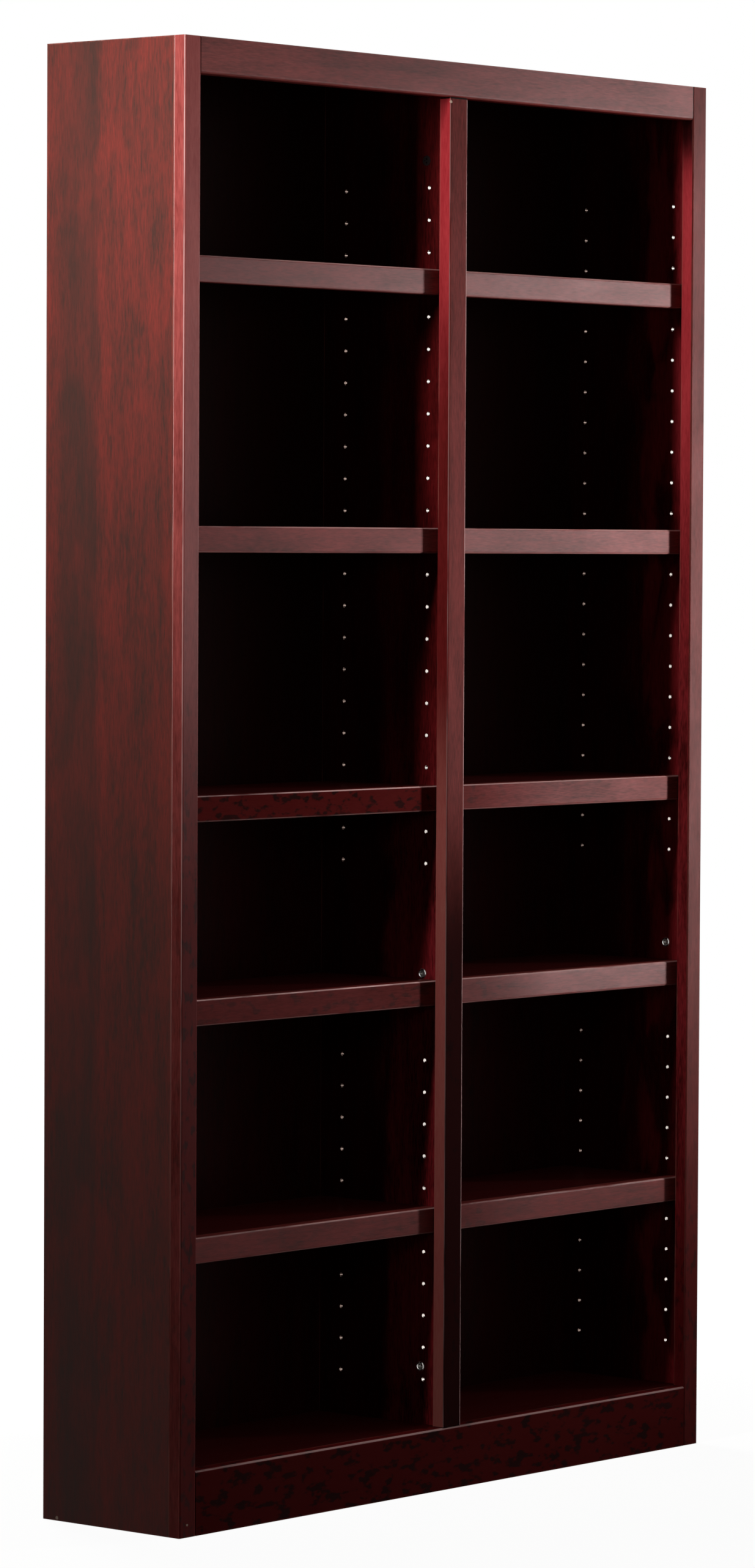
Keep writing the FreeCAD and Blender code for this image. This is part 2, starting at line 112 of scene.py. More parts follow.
def count(name, description, default):
    return bpy.props.IntProperty(name=name, description=description, min=1, default=default)


def place(name, description, default):
    return bpy.props.FloatVectorProperty(
        name=name, description=description, subtype="TRANSLATION", unit="LENGTH", size=3, default=default)


class WoodFinish(bpy.types.PropertyGroup):
    """Stain colours and the scale of the grain."""
    solid_light: colour("Solid light", "Stain on the lighter grain of solid wood", (0.27, 0.040, 0.036))
    solid_dark: colour("Solid dark", "Stain where solid wood soaked it up", (0.085, 0.016, 0.013))
    veneer_light: colour("Veneer light", "Stain on the lighter grain of veneer", (0.210, 0.032, 0.025))
    veneer_dark: colour("Veneer dark", "Stain where veneer soaked it up", (0.050, 0.025, 0.020))
    # inside light and dark are painted shade: a darker stain that makes the bays look shaded
    inner_light: colour("Inside light", "Stain on lighter grain inside the bays", (0.150, 0.008, 0.009))
    inner_dark: colour("Inside dark", "Stain that wood inside the bays soaked up", (0.020, 0.001, 0.001))
    # the boards' colour is painted shade: nearly black, for the shade inside the bays
    board_light: colour("Board light", "Stain on lighter grain of the shelf boards", (0.036, 0.002, 0.002))
    # the back sheets' front colours are painted shade: nearly black, for the shade inside the bays
    sheet_light: colour("Sheet light", "Stain on lighter grain of the back sheets", (0.034, 0.005, 0.004))
    sheet_dark: colour("Sheet dark", "Stain that the back sheets soaked up", (0.012, 0.003, 0.002))
    rear_light: colour("Rear light", "Lighter grain on the back sheets' plain rear", (0.200, 0.095, 0.060))
    rear_dark: colour("Rear dark", "Darker grain on the back sheets' plain rear", (0.085, 0.040, 0.026))
    ply_light: colour("Ply light", "Lighter layers of a sawn edge", (0.290, 0.165, 0.100))
    ply_dark: colour("Ply dark", "Darker layers of a sawn edge", (0.130, 0.066, 0.040))
    # edge wear, and also the pale painted sheen low on the mullion's left face
    wear_and_sheen: colour("Worn edge", "Wood where the stain is rubbed thin", (0.46, 0.15, 0.12))
    # the outer face's colour; it also paints light on the upper left stile
    outer: colour("Outer face", "Lighter stain on the outer face of the stile", (0.42, 0.090, 0.080))
    # glint is a painted highlight: pale lines along rounded edges and along the stile's back seam
    glint: colour("Rubbed line", "Lacquer rubbed bright along an edge", (0.80, 0.50, 0.48))
    # crimson and vivid are painted light on faces that look into the bays
    crimson: colour("Crimson", "Bright stain on faces that look into the bays", (0.420, 0.028, 0.036))
    vivid: colour("Vivid", "Brightest stain, high on faces that look into the bays", (0.660, 0.062, 0.072))
    # painted shade: dark red with black spots, low on the frame, on the bottom rail, some nosings and the
    # mullion's sides
    shade_red: colour("Thick stain", "Stain that lies thick on the lower frame", (0.075, 0.004, 0.004))
    # painted shade at its darkest: nearly black, in the spots of the painted shade, deep in the bays, at the
    # top of the right stile's inner face and on the upper cam
    black: colour("Black stain", "Stain pooled until it is nearly black", (0.008, 0.002, 0.002))
    joint: colour("Joint line", "Stain in the line where two pieces meet", (0.004, 0.002, 0.002))
    chipped: colour("Chip", "Bare wood in a chip", (0.62, 0.46, 0.36))
    fibre_width: length("Fibre width", "Width of single fibres", 0.0009)
    fibre_length: length("Fibre length", "Length of single fibres", 0.018)
    fleck_width: length("Fleck width", "Width of the short flecks in the grain", 0.0030)
    fleck_length: length("Fleck length", "Length of the short flecks in the grain", 0.016)
    figure_width: length("Figure width", "Width of the grain's streaks", 0.012)
    figure_length: length("Figure length", "Length of the grain's streaks", 0.14)
    blotch_width: length("Blotch width", "Width of stain blotches", 0.065)
    blotch_length: length("Blotch length", "Length of stain blotches", 0.20)
    # size of the black spots in the painted shade
    mottle_width: length("Mottle width", "Width of black spots in thick stain", 0.012)
    mottle_length: length("Mottle length", "Length of black spots in thick stain", 0.024)
    ply_pair: length("Ply pair", "Thickness of one light and one dark ply", 0.0054)
    wear_width: length("Wear width", "How far wear reaches from an edge", 0.0022)
    roughness: share("Roughness", "Roughness of the satin lacquer", 0.37)
    specular: share("Specular", "Strength of the lacquer's sheen", 0.06)


class Fittings(bpy.types.PropertyGroup):
    """Shelf holes with their bright liners, cam rims, the brads of the back sheets, and their metals."""
    hole_pitch: length("Hole pitch", "Distance between shelf holes", 0.04812)
    hole_front_inset: length("Front inset", "Front column behind a panel's front edge", 0.0292)
    hole_back_inset: length("Back inset", "Back column before a panel's back edge", 0.0435)
    low_zone_rise: length("Low zone rise", "First low hole above the case's floor", 0.0677)
    low_zone_count: count("Low zone holes", "Holes of a column below the fixed shelf", 11)
    high_zone_rise: length("High zone rise", "First high hole above the fixed shelf", 0.1736)
    high_zone_count: count("High zone holes", "Holes of a column above the fixed shelf", 22)
    liner_radius: length("Liner radius", "Outer radius of a hole's liner", 0.00312)
    liner_wall: length("Liner wall", "Wall of a hole's liner", 0.0003)
    liner_depth: length("Liner depth", "Depth of a hole's liner", 0.0034)
    cam_inset: length("Cam inset", "Cams behind a panel's front edge", 0.035)
    cam_radius: length("Cam radius", "Radius of a cam's bevelled rim", 0.0060)
    cam_rim: length("Cam rim", "Radius of the rim's own section", 0.0014)
    cam_side_height: length("Side cam height", "Height of the cams on the side panels", 0.792)
    # cams above this height get painted shade
    cam_shade_height: length("Cap height", "Cams above this height are capped", 1.5)
    cam_heights: bpy.props.FloatVectorProperty(
        name="Divider cam heights", description="Heights of the bare cams on the divider", unit="LENGTH",
        size=2, default=(0.1805, 0.773))
    brad_radius: length("Brad radius", "Radius of a brad's head", 0.0016)
    brad_rise: length("Brad rise", "Height of a brad's head", 0.0006)
    brad_spacing: length("Brad spacing", "Distance between brads", 0.115)
    brad_edge: length("Brad edge", "Brads to the edge of their sheet", 0.005)
    pin_tint: colour("Pin plating", "Plating of the shelf pins", (0.74, 0.69, 0.64))
    cam_tint: colour("Cam plating", "Plating of the cam discs and bolts", (0.55, 0.53, 0.51))
    rim_tint: colour("Rim plating", "Bright plating of the cam rims", (0.96, 0.94, 0.92))
    front_liner_tint: colour("Front liners", "Plating of the front holes' liners", (0.95, 0.90, 0.87))
    back_liner_tint: colour("Back liners", "Plating of the back holes' liners", (0.66, 0.57, 0.53))
    brad_tint: colour("Brad steel", "Steel of the brads' heads", (0.42, 0.40, 0.38))


class Studio(bpy.types.PropertyGroup):
    """Lamps, backdrop and camera."""
    key_place: place("Key place", "Middle of the strip at the front right", (2.65, -1.7, 1.45))
    key_power: watts("Key power", "Power of the strip at the front right", 12)
    side_place: place("Side place", "Middle of the strip at the left", (-1.75, -0.24, 2.25))
    side_power: watts("Side power", "Power of the strip at the left", 13)
    fill_place: place("Fill place", "Middle of the weak fill beside the camera", (-3.4, -2.9, 1.9))
    fill_power: watts("Fill power", "Power of the weak fill", 3)
    rear_place: place("Rear place", "Middle of the lamp behind the case", (0.9, 2.6, 2.6))
    rear_power: watts("Rear power", "Power of the lamp behind the case", 48)
    ambient: share("Ambient", "Light from all round", 0.012)
    camera_place: place("Camera place", "Where the camera stands", (-6.8357, -5.7620, 1.4136))
    camera_turn: bpy.props.FloatVectorProperty(
        name="Camera turn", description="How the camera is turned", subtype="EULER", unit="ROTATION",
        size=3, default=[math.radians(angle) for angle in (87.7050, -0.2903, -49.7640)])
    camera_lens: bpy.props.FloatProperty(
        name="Lens", description="Focal length over a 36 mm long side", unit="CAMERA", default=136.077)


class Value:
    """An output of a node; sums and products of it add Math nodes."""

    def __init__(self, nodes, socket):
        self.nodes = nodes
        self.socket = socket

    def joined(self, operation, *terms):
        return self.nodes.node("ShaderNodeMath", {"operation": operation}, dict(enumerate(terms)))

    def __add__(self, other):
        return self.joined("ADD", self, other)

    def __sub__(self, other):
        return self.joined("SUBTRACT", self, other)

    def __rsub__(self, other):
        return self.joined("SUBTRACT", other, self)

    def __mul__(self, other):
        return self.joined("MULTIPLY", self, other)

    __radd__ = __add__
    __rmul__ = __mul__

    def least(self, other):
        return self.joined("MINIMUM", self, other)

    def most(self, other):
        return self.joined("MAXIMUM", self, other)

    def sine(self):
        return self.joined("SINE", self)

    def rise(self, low, high):
        """0 at low, 1 at high, smooth between; it falls where low is above high."""
        return self.nodes.node("ShaderNodeMapRange", {"interpolation_type": "SMOOTHSTEP"},
                               {"Value": self, "From Min": low, "From Max": high})


class Nodes:
    """A node tree, with the one way in which nodes are added to it."""

    def __init__(self, tree):
        self.tree = tree
        tree.nodes.clear()

    def node(self, kind, settings=None, sockets=None, output=0):
        """Adds a node, its settings first, and returns one output, or several for a tuple of names."""
        item = self.tree.nodes.new(kind)
        for name, value in (settings or {}).items():
            setattr(item, name, value)
        for key, value in (sockets or {}).items():
            if isinstance(value, Value):
                self.tree.links.new(value.socket, item.inputs[key])
            else:
                item.inputs[key].default_value = value
        if isinstance(output, tuple):
            return [Value(self, item.outputs[name]) for name in output]
        return Value(self, item.outputs[output]) if item.outputs else None


class Shader(Nodes):
    """The nodes of a finish, of the floor or of the world."""

    def __init__(self, owner):
        owner.use_nodes = True
        super().__init__(owner.node_tree)

    def mix(self, factor, first, second):
        """Mixes two colours."""
        paints = [paint if isinstance(paint, Value) else (*paint, 1) for paint in (first, second)]
        return self.node("ShaderNodeMix", {"data_type": "RGBA"},
                         {0: factor, 6: paints[0], 7: paints[1]}, output=2)

    def noise(self, point, scale, shift, detail, distortion=0.0):
        """Noise on a point that is stretched by a scale along each axis."""
        laid = self.node("ShaderNodeMapping", {}, {"Vector": point, "Location": shift, "Scale": scale})
        return self.node("ShaderNodeTexNoise", {},
                         {"Vector": laid, "Scale": 1, "Detail": detail, "Distortion": distortion})

    def surface(self, bump, strength, distance, **sockets):
        """Ends the tree in a Principled shader with a bump."""
        normal = self.node("ShaderNodeBump", {},
                           {"Strength": strength, "Distance": distance, "Height": bump})
        named = {name.replace("_", " "): value for name, value in sockets.items()}
        shader = self.node("ShaderNodeBsdfPrincipled", {}, {"Normal": normal, **named})
        self.node("ShaderNodeOutputMaterial", {}, {"Surface": shader})


def finish(name):
    """A new material and its nodes."""
    material = bpy.data.materials.new(name)
    return material, Shader(material)


# where each noise starts to soak up stain, where it is full, and how much it adds
BLOTCH_SOAK = (0.26, 0.78, 0.46)
STREAK_SOAK = (0.34, 0.74, 0.24)
FLECK_SOAK = (0.34, 0.70, 0.24)
FIBRE_SOAK = (0.36, 0.66, 0.32)
PORE_SOAK = 0.14

# ranges of a noise in which a layer of the finish, of painted highlight or of painted shade comes up
PORE_RANGE = (0.62, 0.72)
CLOUD_RANGE = (0.30, 0.65)
GLINT_RANGE = (0.25, 0.55)
WEAR_RANGE = (0.40, 0.64)
MOTTLE_RANGE = (0.52, 0.62)
PLY_RANGE = (0.3, 0.7)

SEED_SHIFT = (3.7, 5.1, 7.3)  # how far a seed moves the grain along each axis
FACE_BLUR = 0.0002  # half of the soft step at the end of a face
LEAF_BLUR, LEAF_RAG = 0.02, 0.03  # softness and raggedness of the edge of a leaf of veneer
ZONE_BLUR, ZONE_RAG = 0.012, 0.10  # the same for a zone of painted light or painted shade
SHEEN_CHANGE = 0.14  # how much the grain changes the lacquer's roughness
MATT_ROUGHNESS = 0.4
WEAR_AMOUNT = 0.5
PORE_RELIEF, BLOTCH_RELIEF = 0.6, 0.8
GRAIN_BUMP, GRAIN_DEPTH = 0.14, 0.0005
LINE_CORE, GLINT_CORE = 0.6, 0.85  # share of a line's width at which it is full
CHIP_GRAIN, CHIP_SHIFT = (500, 500, 500), (1, 2, 3)
CHIP_RANGE = (1.5, 1.3)  # radii between which a chip's ragged edge lies


class Wood:
    """Stained wood for one piece, built up in layers that are then closed with a satin lacquer."""

    def __init__(self, node, grain, light, dark, seed):
        look = bpy.context.scene.bookcase_finish
        self.look, self.grain, self.seed = look, grain, seed
        self.low, self.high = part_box(node)
        self.material, self.nodes = finish(f"{node}_stain")
        self.point = self.nodes.node("ShaderNodeTexCoord", output="Object")
        self.place = self.nodes.node("ShaderNodeSeparateXYZ", {}, {0: self.point}, output=("X", "Y", "Z"))
        self.fibre = self.figure(look.fibre_width, look.fibre_length, detail=4)
        self.fleck = self.figure(look.fleck_width, look.fleck_length, detail=3)
        self.streak = self.figure(look.figure_width, look.figure_length, detail=4, distortion=0.4)
        self.blotch = self.figure(look.blotch_width, look.blotch_length, detail=5, distortion=0.6)
        self.pore = self.figure(look.fibre_width / 2, look.fibre_length / 3, detail=1).rise(*PORE_RANGE)
        self.soaked = self.pore * PORE_SOAK
        for noise, soak in ((self.blotch, BLOTCH_SOAK), (self.streak, STREAK_SOAK),
                            (self.fleck, FLECK_SOAK), (self.fibre, FIBRE_SOAK)):
            start, full, amount = soak
            self.soaked = self.soaked + noise.rise(start, full) * amount
        self.soaked = self.soaked.least(1.0)
        self.stain = self.nodes.mix(self.soaked, light, dark)
        self.rough = look.roughness + (self.fibre + self.blotch - 1) * SHEEN_CHANGE

    def figure(self, width, long, detail, distortion=0.0):
        """Noise with spots as wide across the grain and as long along it as given."""
        scale = [1 / width] * 3
        scale[self.grain] = 1 / long
        shift = [step * self.seed for step in SEED_SHIFT]
        return self.nodes.noise(self.point, scale, shift, detail, distortion)

    def beyond(self, axis, spot):
        """1 where a coordinate is past a place, 0 before it."""
        return self.place[axis].rise(spot - FACE_BLUR, spot + FACE_BLUR)

    def before(self, axis, spot):
        """1 where a coordinate is before a place, 0 past it."""
        return self.place[axis].rise(spot + FACE_BLUR, spot - FACE_BLUR)

    def between(self, axis, low, high):
        """1 where a coordinate lies between two places, 0 elsewhere."""
        return (self.place[axis] - low).least(high - self.place[axis]).rise(-FACE_BLUR, FACE_BLUR)

    def fade(self, axis, start, full, amount=1.0):
        """Comes up along an axis, from 0 at one place to an amount at another."""
        return self.place[axis].rise(start, full) * amount

    def front_zone(self, depth):
        """1 near the front and 0 beyond a ragged line about a place in depth."""
        ragged = self.place[Y_AXIS] + (self.blotch - 0.5) * ZONE_RAG
        return ragged.rise(depth + ZONE_BLUR, depth - ZONE_BLUR)

    def off(self, axis, spot):
        """How far a coordinate is from a place, either way."""
        return (self.place[axis] - spot).most(spot - self.place[axis])

    def cover(self, mask, paint, dark=None):
        """Lays a paint over part of the piece; with a dark one the two follow the grain."""
        if dark is not None:
            paint = self.nodes.mix(self.soaked, paint, dark)
        self.stain = self.nodes.mix(mask, self.stain, paint)

    def inside(self, mask):
        """Paints shade on what lies in the bays, as a deeper, darker stain."""
        self.cover(mask, self.look.inner_light, self.look.inner_dark)

    def leaf(self, axis, start, end, amount):
        """A second leaf of veneer, browner, between two ragged lines along the grain."""
        ragged = self.place[axis] + self.streak * LEAF_RAG
        band = ragged.rise(start, start + LEAF_BLUR) * ragged.rise(end + LEAF_BLUR, end - LEAF_BLUR)
        clouds = self.blotch.rise(*CLOUD_RANGE) * 0.5 + 0.5
        self.cover(band * clouds * amount, self.look.veneer_dark)

    def seam(self, axis, spot, width, paint=None, amount=1.0):
        """A thin line across the piece, dark as a joint unless it has a paint of its own; with the pale glint
        paint it is a painted highlight.
        """
        line = self.off(axis, spot).rise(width, width * LINE_CORE)
        self.cover(line * amount, paint or self.look.joint)

    def glint(self, first, second, reach, amount):
        """A painted highlight: a pale line along a rounded edge that two axes and places give."""
        rounding = (self.off(*first) + self.off(*second)).rise(reach, reach * GLINT_CORE)
        self.cover(rounding * self.streak.rise(*GLINT_RANGE) * amount, self.look.glint)

    def plies(self, axis, mask):
        """Bare plies on a sawn edge, in layers along an axis."""
        wave = (self.place[axis] * (math.tau / self.look.ply_pair)).sine() * 0.5 + 0.5
        self.cover(mask, self.nodes.mix(wave.rise(*PLY_RANGE), self.look.ply_light, self.look.ply_dark))

    def chip(self, centre, radius):
        """A chip down to bare wood."""
        gap = self.nodes.node("ShaderNodeVectorMath", {"operation": "DISTANCE"},
                              {0: self.point, 1: centre}, output="Value")
        ragged = self.nodes.noise(self.point, CHIP_GRAIN, CHIP_SHIFT, detail=2) * radius + gap
        self.cover(ragged.rise(*(radius * part for part in CHIP_RANGE)), self.look.chipped)

    def matt(self, mask):
        """Takes the shine off part of the piece."""
        self.rough = self.rough + mask * MATT_ROUGHNESS

    def pool(self, mask, blackest=0.0):
        """Painted shade: dark, matt stain with black spots; blackest is how black it is between them."""
        self.matt(mask)
        spots = self.figure(self.look.mottle_width, self.look.mottle_length, detail=6).rise(*MOTTLE_RANGE)
        self.cover(mask, self.nodes.mix(spots.most(blackest), self.look.shade_red, self.look.black))

    def close(self, sheen=1.0):
        """Adds wear along the edges and the lacquer, and returns the material."""
        across, deep, up = (
            (spot - low).least(high - spot) for spot, low, high in zip(self.place, self.low, self.high))
        # the middle one of the three distances to the faces is small only along an edge
        edge = across.least(deep).most(across.most(deep).least(up))
        rubbed = edge.rise(self.look.wear_width, 0) * self.streak.rise(*WEAR_RANGE)
        self.cover(rubbed * WEAR_AMOUNT, self.look.wear_and_sheen)
        relief = self.fibre - self.pore * PORE_RELIEF + self.blotch * BLOTCH_RELIEF
        self.nodes.surface(relief, GRAIN_BUMP, GRAIN_DEPTH, Base_Color=self.stain, Roughness=self.rough,
                           Specular_IOR_Level=self.look.specular * sheen)
        return self.material


WIPE_SCALE = (2400, 2400, 500)
WIPE_BUMP, WIPE_DEPTH, WIPE_ROUGHNESS = 0.10, 0.0001, 0.10
TARNISH_SCALE, TARNISH_SHIFT = (160, 160, 160), (4, 4, 4)
TARNISH_RANGE, TARNISH_AMOUNT, TARNISH_SHADE = (0.4, 0.7), 0.6, 0.72
# softness of the painted shade's edge on the metal
SHADE_BLUR = 0.01


def metal(name, tint, roughness, shaded=None):
    """Plated metal with fine wiping marks and a little tarnish; above a height it has painted shade, nearly
    black and not metallic.
    """
    material, nodes = finish(name)
    point = nodes.node("ShaderNodeTexCoord", output="Object")
    marks = nodes.noise(point, WIPE_SCALE, (0, 0, 0), detail=3)
    cloud = nodes.noise(point, TARNISH_SCALE, TARNISH_SHIFT, detail=2)
    tarnished = [channel * TARNISH_SHADE for channel in tint]
    paint = nodes.mix(cloud.rise(*TARNISH_RANGE) * TARNISH_AMOUNT, tint, tarnished)
    bare = 1.0
    # painted shade: above the height the metal turns nearly black
    if shaded is not None:
        height = nodes.node("ShaderNodeSeparateXYZ", {}, {0: point}, output="Z")
        bare = height.rise(shaded + SHADE_BLUR, shaded)
        paint = nodes.mix(bare, bpy.context.scene.bookcase_finish.black, paint)
    rough = (marks - 0.5) * WIPE_ROUGHNESS + roughness
    nodes.surface(marks, WIPE_BUMP, WIPE_DEPTH, Base_Color=paint, Roughness=rough, Metallic=bare)
    return material


def dress(node, material):
    """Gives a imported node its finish."""
    NODES[node].data.materials.clear()
    NODES[node].data.materials.append(material)


class Tree(Nodes):
    """A geometry node tree with named sizes that ends in realised, finished geometry."""

    def __init__(self, name, *sizes):
        group = bpy.data.node_groups.new(name, "GeometryNodeTree")
        super().__init__(group)
        for way in ("INPUT", "OUTPUT"):
            group.interface.new_socket("Geometry", in_out=way, socket_type="NodeSocketGeometry")
        self.keys = [
            group.interface.new_socket(size, in_out="INPUT", socket_type="NodeSocketFloat").identifier
            for size in sizes]
        self.mesh, *self.sizes = self.node("NodeGroupInput", output=("Geometry", *sizes))

    def raised(self, shape, rise):
        """A shape moved along its own Z."""
        step = self.node("ShaderNodeCombineXYZ", {}, {"Z": rise})
        return self.node("GeometryNodeTransform", {}, {"Geometry": shape, "Translation": step})

    def set_out(self, shape):
        """Puts a shape on every point of the mesh, with its Z along the point's facing."""
        facing = self.node("GeometryNodeInputNamedAttribute", {"data_type": "FLOAT_VECTOR"},
                           {"Name": "facing"}, "Attribute")
        turn = self.node("FunctionNodeAlignRotationToVector", {"axis": "Z"}, {"Vector": facing})
        return self.node("GeometryNodeInstanceOnPoints", {},
                         {"Points": self.mesh, "Instance": shape, "Rotation": turn})

    def end(self, geometry, material):
        """Realises the geometry, gives it its finish and hands it out."""
        solid = self.node("GeometryNodeRealizeInstances", {}, {"Geometry": geometry})
        done = self.node("GeometryNodeSetMaterial", {}, {"Geometry": solid, "Material": material})
        self.node("NodeGroupOutput", {}, {"Geometry": done})

    def grow(self, name, mesh, slot, *sizes):
        """Runs the tree on a mesh, with its sizes in order, and fixes the plain result to the case."""
        piece = bpy.data.objects.new(name, mesh)
        bpy.context.scene.collection.objects.link(piece)
        modifier = piece.modifiers.new("Tree", "NODES")
        modifier.node_group = self.tree
        for key, size in zip(self.keys, sizes, strict=True):
            modifier[key] = size
        graph = bpy.context.evaluated_depsgraph_get()
        plain = bpy.data.meshes.new_from_object(piece.evaluated_get(graph))
        piece.modifiers.clear()
        piece.data = plain
        plain.name = name
        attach(piece, "case")


def facing_points(name, points, facings):
    """A mesh of loose points that know which way they face."""
    mesh = bpy.data.meshes.new(name)
    mesh.from_pydata(points, [], [])
    ways = mesh.attributes.new("facing", "FLOAT_VECTOR", "POINT")
    ways.data.foreach_set("vector", [number for way in facings for number in way])
    return mesh


# faces with shelf holes: the upright, the end of its box along X, and the way the face looks
HOLED_FACES = (("left_side_panel", HIGH, 1), ("centre_divider", LOW, -1), ("centre_divider", HIGH, 1),
               ("right_side_panel", LOW, -1))
LINER_SIDES = 14
LINER_SINK = 0.51  # share of its depth by which a liner's middle is sunk; its rim is then just below the face
RIM_SIDES, RIM_BEVELS = 32, 4
BRAD_SEGMENTS, BRAD_RINGS = 10, 6


def free_levels(sizes):
    """Heights of the shelf holes that hold no pin."""
    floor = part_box("bottom_panel")[HIGH].z
    fixed_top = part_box(f"shelf_board_left_{FIXED_SHELF}")[HIGH].z
    zones = ((floor + sizes.low_zone_rise, sizes.low_zone_count),
             (fixed_top + sizes.high_zone_rise, sizes.high_zone_count))
    levels = [start + step * sizes.hole_pitch for start, number in zones for step in range(number)]
    seats = [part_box(f"shelf_board_left_{shelf}")[LOW].z for shelf in SHELVES if shelf != FIXED_SHELF]
    return [level for level in levels if all(abs(level - seat) > sizes.hole_pitch / 2 for seat in seats)]


def free_holes(sizes, column):
    """The free shelf holes of the front or the back column on every holed face."""
    levels = free_levels(sizes)
    places, facings = [], []
    for node, end, way in HOLED_FACES:
        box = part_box(node)
        front, back = box[LOW].y + sizes.hole_front_inset, box[HIGH].y - sizes.hole_back_inset
        depth = front if column == "front" else back
        places += [(box[end].x, depth, level) for level in levels]
        facings += [(way, 0, 0)] * len(levels)
    return facing_points(f"{column} holes", places, facings)


def liner_tree(material):
    """Sets a thin cup into the panel at each point, open towards the point's facing."""
    tree = Tree("hole liners", "Radius", "Wall", "Depth")
    radius, wall, depth = tree.sizes
    outer, bore = (
        tree.node("GeometryNodeMeshCylinder", {},
                  {"Vertices": LINER_SIDES, "Radius": size, "Depth": depth}, "Mesh")
        for size in (radius, radius - wall))
    cup = tree.node("GeometryNodeMeshBoolean", {"operation": "DIFFERENCE"},
                    {"Mesh 1": outer, "Mesh 2": tree.raised(bore, wall)}, "Mesh")
    tree.end(tree.set_out(tree.raised(cup, depth * -LINER_SINK)), material)
    return tree


def cam_faces(sizes):
    """The middles of the bare cam discs."""
    left, right, divider = (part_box(node) for node in UPRIGHTS)
    depth = left[LOW].y + sizes.cam_inset
    places = [(divider[LOW].x, depth, height) for height in sizes.cam_heights]
    facings = [(-1, 0, 0)] * len(places)
    places += [(left[HIGH].x, depth, sizes.cam_side_height), (right[LOW].x, depth, sizes.cam_side_height)]
    facings += [(1, 0, 0), (-1, 0, 0)]
    return facing_points("cam faces", places, facings)


def rim_tree(material):
    """Lays a bevelled ring round each point, square to the point's facing."""
    tree = Tree("cam rims", "Radius", "Rim")
    circle, section = (
        tree.node("GeometryNodeCurvePrimitiveCircle", {}, {"Resolution": sides, "Radius": size})
        for sides, size in zip((RIM_SIDES, RIM_BEVELS), tree.sizes))
    ring = tree.node("GeometryNodeCurveToMesh", {}, {"Curve": circle, "Profile Curve": section})
    tree.end(tree.set_out(ring), material)
    return tree


def brad_lines(sizes):
    """Lines of brads round each back sheet, on its rear face."""
    points, edges = [], []
    for node in BACKS:
        low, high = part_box(node)
        left, right = low.x + sizes.brad_edge, high.x - sizes.brad_edge
        bottom, top = low.z + sizes.brad_edge * 2, high.z - sizes.brad_edge * 2
        corners = [(left, bottom), (right, bottom), (right, top), (left, top)]
        first = len(points)
        points += [(across, high.y, up) for across, up in corners]
        edges += [(first + step, first + (step + 1) % len(corners)) for step in range(len(corners))]
    mesh = bpy.data.meshes.new("brad lines")
    mesh.from_pydata(points, edges, [])
    return mesh


def brad_tree(material):
    """Sets a low domed head at even steps along each line, facing the rear."""
    tree = Tree("back brads", "Radius", "Rise", "Spacing")
    radius, rise, spacing = tree.sizes
    line = tree.node("GeometryNodeMeshToCurve", {}, {"Mesh": tree.mesh})
    steps = tree.node("GeometryNodeResampleCurve", {"mode": "LENGTH"}, {"Curve": line, "Length": spacing})
    ball = tree.node("GeometryNodeMeshUVSphere", {},
                     {"Segments": BRAD_SEGMENTS, "Rings": BRAD_RINGS, "Radius": 1.0}, "Mesh")
    scale = tree.node("ShaderNodeCombineXYZ", {}, {"X": radius, "Y": rise, "Z": radius})
    head = tree.node("GeometryNodeTransform", {}, {"Geometry": ball, "Scale": scale})
    heads = tree.node("GeometryNodeInstanceOnPoints", {}, {"Points": steps, "Instance": head})
    tree.end(heads, material)
    return tree


SKIN = 0.0005  # depth of a face's own finish
ARRIS = 0.001  # the same where it has to clear an eased edge

LEAF_BAND = (0.036, 0.125, 0.65)  # start and end in depth, and amount
RIGHT_PANEL_FRONT, DIVIDER_FRONT = -0.040, -0.010  # how deep their painted light, a crimson stain, reaches
DEEP_START = 0.0  # where the painted shade deep in the bays starts
# clouds in the right panel's painted light, and the least of it between them
CRIMSON_CLOUDS, CRIMSON_LEAST = (0.56, 0.46), 0.2
# how dark the painted shade deep in the bays is
DEEP_AMOUNT = 0.6
# the divider's painted light comes up towards the bottom
DIVIDER_LOWER = (1.25, 0.85)
SIDE_CHIP, SIDE_CHIP_RADIUS = (-0.6096, 0.1060, 0.0040), 0.0030
TOP_SHEEN = 0.25


